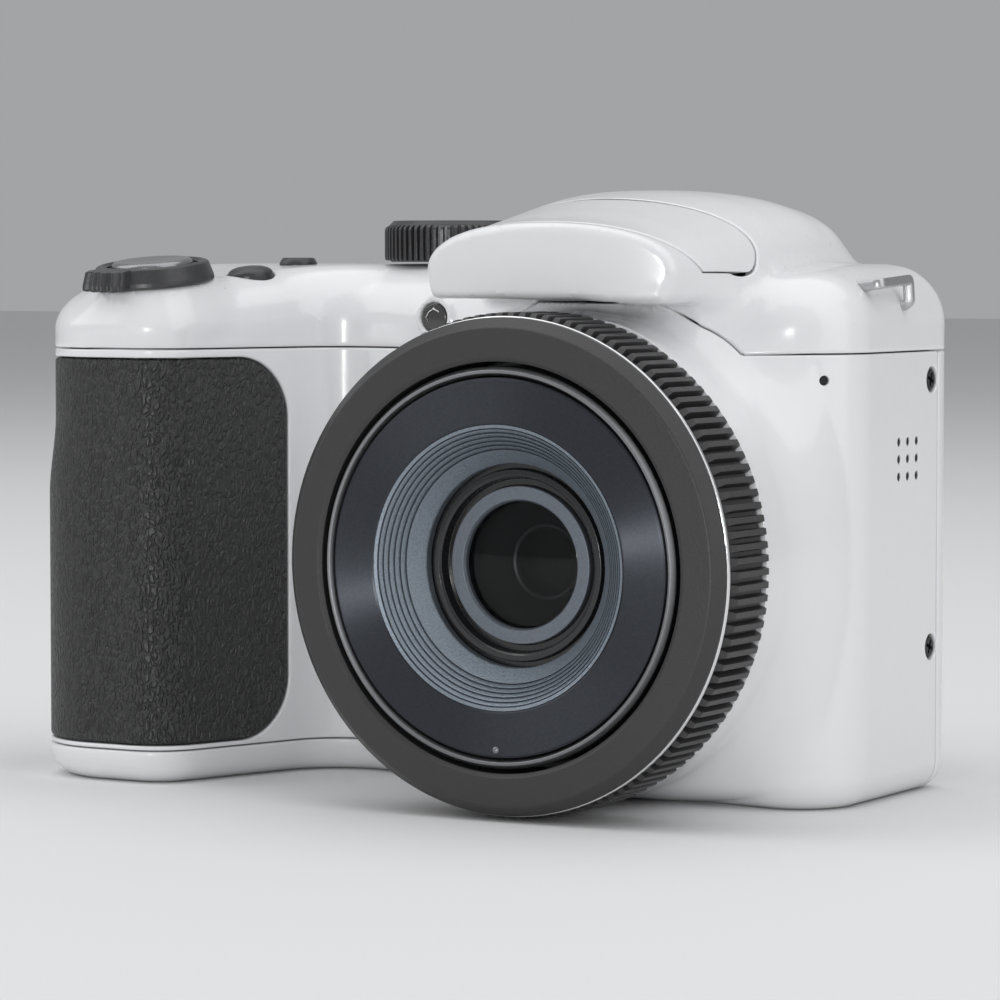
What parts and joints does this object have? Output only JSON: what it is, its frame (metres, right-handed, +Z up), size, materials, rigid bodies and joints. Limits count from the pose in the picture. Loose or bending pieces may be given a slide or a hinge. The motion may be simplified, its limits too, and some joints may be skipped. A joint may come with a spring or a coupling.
{
  "type": "bridge camera",
  "caption": "Compact bridge camera with a telescoping zoom lens, a pop-up flash on a hump, a rubber-clad grip that holds AA cells, top controls, rear display and tripod socket.",
  "frame": {"origin": "centre of the mouth of the tripod socket, straight below the lens axis", "axes": "+X to the right as seen from the front, towards the speaker side; +Y from the lens to the display; +Z up"},
  "size_m": [0.1214, 0.0659, 0.0808],
  "materials": {
    "white_gloss": "glossy moulded ABS",
    "grip_rubber": "pebbled elastomer",
    "bright_steel": "plated steel",
    "screw_steel": "black oxide",
    "lamp_plastic": "smoked clear plastic",
    "board": "solder mask",
    "dark_plastic": "fine textured plastic",
    "display_glass": "polished",
    "cell_can": "printed sleeve",
    "capacitor_can": "sleeved can",
    "ring_plastic": "satin black",
    "trim_chrome": "bright plated",
    "barrel_metal": "satin anodised",
    "face_metal": "dark anodised, turned",
    "groove_metal": "dark anodised, turned",
    "lens_black": "flocked black",
    "lens_glass": "coated glass",
    "reflector": "polished",
    "tube_glass": "clear",
    "key_metal": "metallised plastic",
    "key_plastic": "satin dark grey",
    "record_red": "red plastic"
  },
  "bodies": {
    "housing": {"front_cover": "white_gloss", "rear_cover": "white_gloss", "top_cover": "white_gloss", "bottom_cover": "white_gloss", "grip_rubber": "grip_rubber", "strap_lugs": "bright_steel", "case_screws": "screw_steel", "af_lamp": "lamp_plastic", "tripod_bush": "bright_steel", "chassis": "bright_steel", "main_board": "board", "key_board": "board", "display_panel": "dark_plastic", "display_window": "display_glass", "cell_holder": "dark_plastic", "aa_cells": "cell_can", "cell_contacts": "bright_steel", "flash_capacitor": "capacitor_can", "speaker": "dark_plastic", "microphone": "dark_plastic", "lens_drum": "dark_plastic", "front_ring": "ring_plastic", "trim_ring": "trim_chrome", "rib_ring": "ring_plastic", "rear_glass": "lens_glass", "image_sensor": "lens_black", "zoom_motor": "bright_steel", "flash_pin": "bright_steel", "shutter_bush": "dark_plastic", "dial_bush": "bright_steel", "door_pin": "bright_steel"},
    "first_barrel": {"outer_barrel": "barrel_metal"},
    "second_barrel": {"inner_barrel": "barrel_metal", "lens_face": "face_metal", "groove_ring": "groove_metal", "lens_cell": "lens_black", "glass_retainer": "groove_metal", "front_glass": "lens_glass", "shutter_unit": "lens_black"},
    "cam": {"cam_ring": "barrel_metal"},
    "flash_head": {"flash_lid": "white_gloss", "flash_hinge": "dark_plastic", "flash_reflector": "reflector", "flash_tube": "tube_glass", "flash_window": "tube_glass"},
    "shutter_button": {"shutter_key": "key_metal"},
    "zoom_ring": {"zoom_lever": "key_plastic"},
    "power_button": {"power_key": "key_plastic"},
    "top_button": {"top_key": "key_plastic"},
    "dial": {"mode_dial": "key_plastic", "dial_shaft": "bright_steel"},
    "menu_button": {"menu_key": "key_plastic"},
    "play_button": {"play_key": "key_plastic"},
    "display_button": {"display_key": "key_plastic"},
    "erase_button": {"erase_key": "key_plastic"},
    "record_button": {"record_key": "record_red"},
    "pad_button": {"four_way_pad": "key_plastic"},
    "set_button": {"set_key": "key_plastic"},
    "door": {"battery_door": "white_gloss", "door_contacts": "bright_steel"}
  },
  "joints": [
    {"name": "first_barrel_slide", "type": "slide", "parent": "housing", "child": "first_barrel", "axis": [0, -1, 0], "range_m": [0, 0.018]},
    {"name": "second_barrel_slide", "type": "slide", "parent": "first_barrel", "child": "second_barrel", "axis": [0, -1, 0], "range_m": [0, 0.016]},
    {"name": "cam_turn", "type": "hinge", "parent": "housing", "child": "cam", "pos_m": [0, 0, 0.0325], "axis": [0, -1, 0], "range_deg": [0, 150]},
    {"name": "flash_lid_hinge", "type": "hinge", "parent": "housing", "child": "flash_head", "pos_m": [0, -0.018, 0.0748], "axis": [-1, 0, 0], "range_deg": [0, 50]},
    {"name": "shutter_press", "type": "slide", "parent": "housing", "child": "shutter_button", "axis": [0, 0.1219, -0.9925], "range_m": [0, 0.0008], "stiffness_N_per_m": 300, "springref_m": -0.0005},
    {"name": "zoom_ring_turn", "type": "hinge", "parent": "housing", "child": "zoom_ring", "pos_m": [-0.0645, -0.027, 0.06793], "axis": [0, -0.1219, 0.9925], "range_deg": [-15, 15], "stiffness_Nm_per_rad": 0.03},
    {"name": "power_press", "type": "slide", "parent": "housing", "child": "power_button", "axis": [0, 0.1219, -0.9925], "range_m": [0, 0.0006], "stiffness_N_per_m": 300, "springref_m": -0.0005},
    {"name": "top_button_press", "type": "slide", "parent": "housing", "child": "top_button", "axis": [0, 0, -1], "range_m": [0, 0.0006], "stiffness_N_per_m": 300, "springref_m": -0.0005},
    {"name": "dial_turn", "type": "hinge", "parent": "housing", "child": "dial", "pos_m": [-0.036, 0.006, 0.071], "axis": [0, 0, 1], "continuous": true},
    {"name": "menu_press", "type": "slide", "parent": "housing", "child": "menu_button", "axis": [0, -1, 0], "range_m": [0, 0.0006], "stiffness_N_per_m": 300, "springref_m": -0.0005},
    {"name": "play_press", "type": "slide", "parent": "housing", "child": "play_button", "axis": [0, -1, 0], "range_m": [0, 0.0006], "stiffness_N_per_m": 300, "springref_m": -0.0005},
    {"name": "display_press", "type": "slide", "parent": "housing", "child": "display_button", "axis": [0, -1, 0], "range_m": [0, 0.0006], "stiffness_N_per_m": 300, "springref_m": -0.0005},
    {"name": "erase_press", "type": "slide", "parent": "housing", "child": "erase_button", "axis": [0, -1, 0], "range_m": [0, 0.0006], "stiffness_N_per_m": 300, "springref_m": -0.0005},
    {"name": "record_press", "type": "slide", "parent": "housing", "child": "record_button", "axis": [0, -1, 0], "range_m": [0, 0.0006], "stiffness_N_per_m": 300, "springref_m": -0.0005},
    {"name": "pad_press", "type": "slide", "parent": "housing", "child": "pad_button", "axis": [0, -1, 0], "range_m": [0, 0.0006], "stiffness_N_per_m": 300, "springref_m": -0.0005},
    {"name": "set_press", "type": "slide", "parent": "housing", "child": "set_button", "axis": [0, -1, 0], "range_m": [0, 0.0006], "stiffness_N_per_m": 300, "springref_m": -0.0005},
    {"name": "door_hinge", "type": "hinge", "parent": "housing", "child": "door", "pos_m": [-0.05, 0, 0.0012], "axis": [0, -1, 0], "range_deg": [0, 95]}
  ],
  "couplings": [
    {"joint": "second_barrel_slide", "follows": "first_barrel_slide", "ratio": 0.8888},
    {"joint": "cam_turn", "follows": "first_barrel_slide", "rad_per_m": 145.4}
  ]
}
